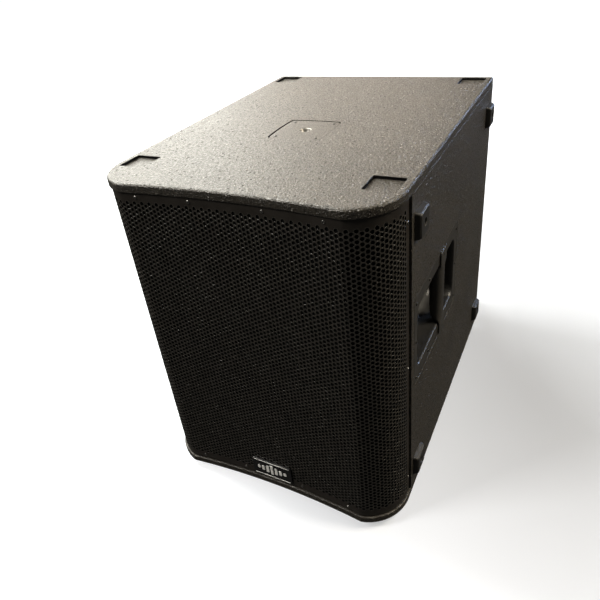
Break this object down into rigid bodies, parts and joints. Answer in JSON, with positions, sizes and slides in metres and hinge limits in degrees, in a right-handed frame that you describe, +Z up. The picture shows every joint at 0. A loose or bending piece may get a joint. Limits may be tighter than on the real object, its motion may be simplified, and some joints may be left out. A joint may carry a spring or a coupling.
{
  "type": "subwoofer cabinet",
  "caption": "Powered bass loudspeaker box with a wrapped perforated grille, bar handles, pole socket, rubber feet, rear swivel casters and a rear amplifier panel.",
  "frame": {"origin": "on the floor under the middle of the whole object, feet, casters and handle bars included", "axes": "+Z up, -Y to the grille at the front, +Y to the casters and the amplifier panel, +X to the side with the rubber feet"},
  "size_m": [0.5318, 0.794, 0.667],
  "materials": {
    "textured_paint": "birch plywood under black textured paint, satin",
    "bare_plywood": "unpainted birch plywood",
    "grille_steel": "perforated steel, black powder coat",
    "grille_foam": "open-cell black foam",
    "badge_black": "black plate with plain light lines",
    "moulded_black": "black moulded plastic, fine grain",
    "rubber_black": "moulded rubber",
    "cast_frame": "cast and painted, satin black",
    "cone_paper": "treated cone paper, matt black",
    "spider_cloth": "resin-dipped corrugated cloth",
    "coil_copper": "copper winding on a former",
    "ferrite": "ferrite magnet, matt",
    "zinc_steel": "zinc plated steel",
    "black_metal": "black painted steel plate",
    "heat_sink_black": "black anodised aluminium",
    "circuit_green": "glass fibre board with parts",
    "caster_tyre": "grey-black rubber tread on a plastic hub"
  },
  "bodies": {
    "cabinet": {"top_panel": "textured_paint", "bottom_panel": "textured_paint", "left_side_panel": "textured_paint", "right_side_panel": "textured_paint", "back_panel": "textured_paint", "front_baffle": "textured_paint", "window_brace": "bare_plywood", "grille": "grille_steel", "grille_foam": "grille_foam", "badge_plate": "badge_black", "port_tube_left": "moulded_black", "port_tube_right": "moulded_black", "left_handle_cup": "moulded_black", "right_handle_cup": "moulded_black", "left_handle_grip": "moulded_black", "right_handle_grip": "moulded_black", "mains_inlet": "moulded_black", "woofer_gasket": "rubber_black", "woofer_surround": "rubber_black", "bottom_foot_front_left": "rubber_black", "bottom_foot_front_right": "rubber_black", "bottom_foot_rear_left": "rubber_black", "bottom_foot_rear_right": "rubber_black", "side_foot_front_low": "rubber_black", "side_foot_front_high": "rubber_black", "side_foot_rear_low": "rubber_black", "side_foot_rear_high": "rubber_black", "woofer_basket": "cast_frame", "woofer_spider": "spider_cloth", "woofer_magnet": "ferrite", "woofer_top_plate": "zinc_steel", "woofer_pole_piece": "zinc_steel", "pole_plate": "black_metal", "amp_panel": "black_metal", "xlr_input": "black_metal", "xlr_output": "black_metal", "amp_heat_sink": "heat_sink_black", "amp_circuit_board": "circuit_green", "caster_low_left_plate": "zinc_steel", "caster_low_right_plate": "zinc_steel", "caster_high_left_plate": "zinc_steel", "caster_high_right_plate": "zinc_steel"},
    "woofer_moving_parts": {"woofer_cone": "cone_paper", "woofer_dust_cap": "cone_paper", "voice_coil": "coil_copper"},
    "caster_low_left_swivel": {"caster_low_left_fork": "zinc_steel", "caster_low_left_axle": "zinc_steel"},
    "caster_low_left_wheel": {"caster_low_left_wheel": "caster_tyre"},
    "caster_low_right_swivel": {"caster_low_right_fork": "zinc_steel", "caster_low_right_axle": "zinc_steel"},
    "caster_low_right_wheel": {"caster_low_right_wheel": "caster_tyre"},
    "caster_high_left_swivel": {"caster_high_left_fork": "zinc_steel", "caster_high_left_axle": "zinc_steel"},
    "caster_high_left_wheel": {"caster_high_left_wheel": "caster_tyre"},
    "caster_high_right_swivel": {"caster_high_right_fork": "zinc_steel", "caster_high_right_axle": "zinc_steel"},
    "caster_high_right_wheel": {"caster_high_right_wheel": "caster_tyre"},
    "power_rocker": {"power_switch": "moulded_black"},
    "gain_control": {"gain_knob": "moulded_black"},
    "polarity_push": {"polarity_button": "moulded_black"}
  },
  "joints": [
    {"name": "woofer_travel", "type": "slide", "parent": "cabinet", "child": "woofer_moving_parts", "axis": [0, -1, 0], "range_m": [-0.012, 0.012], "stiffness_N_per_m": 7000, "deforming": ["woofer_surround", "woofer_spider"]},
    {"name": "caster_low_left_swivel_turn", "type": "hinge", "parent": "cabinet", "child": "caster_low_left_swivel", "pos_m": [-0.20745, 0.306, 0.094], "axis": [0, 1, 0], "continuous": true},
    {"name": "caster_low_left_wheel_turn", "type": "hinge", "parent": "caster_low_left_swivel", "child": "caster_low_left_wheel", "pos_m": [-0.20745, 0.357, 0.066], "axis": [1, 0, 0], "continuous": true},
    {"name": "caster_low_right_swivel_turn", "type": "hinge", "parent": "cabinet", "child": "caster_low_right_swivel", "pos_m": [0.20055, 0.306, 0.094], "axis": [0, 1, 0], "continuous": true},
    {"name": "caster_low_right_wheel_turn", "type": "hinge", "parent": "caster_low_right_swivel", "child": "caster_low_right_wheel", "pos_m": [0.20055, 0.357, 0.066], "axis": [1, 0, 0], "continuous": true},
    {"name": "caster_high_left_swivel_turn", "type": "hinge", "parent": "cabinet", "child": "caster_high_left_swivel", "pos_m": [-0.20745, 0.306, 0.594], "axis": [0, 1, 0], "continuous": true},
    {"name": "caster_high_left_wheel_turn", "type": "hinge", "parent": "caster_high_left_swivel", "child": "caster_high_left_wheel", "pos_m": [-0.20745, 0.357, 0.566], "axis": [1, 0, 0], "continuous": true},
    {"name": "caster_high_right_swivel_turn", "type": "hinge", "parent": "cabinet", "child": "caster_high_right_swivel", "pos_m": [0.20055, 0.306, 0.594], "axis": [0, 1, 0], "continuous": true},
    {"name": "caster_high_right_wheel_turn", "type": "hinge", "parent": "caster_high_right_swivel", "child": "caster_high_right_wheel", "pos_m": [0.20055, 0.357, 0.566], "axis": [1, 0, 0], "continuous": true},
    {"name": "power_rocker_tilt", "type": "hinge", "parent": "cabinet", "child": "power_rocker", "pos_m": [0.08855, 0.2993, 0.202], "axis": [1, 0, 0], "range_deg": [0, 17]},
    {"name": "gain_turn", "type": "hinge", "parent": "cabinet", "child": "gain_control", "pos_m": [-0.08945, 0.3063, 0.292], "axis": [0, 1, 0], "range_deg": [-150, 150]},
    {"name": "polarity_press", "type": "slide", "parent": "cabinet", "child": "polarity_push", "axis": [0, -1, 0], "range_m": [0, 0.0025], "stiffness_N_per_m": 300}
  ]
}
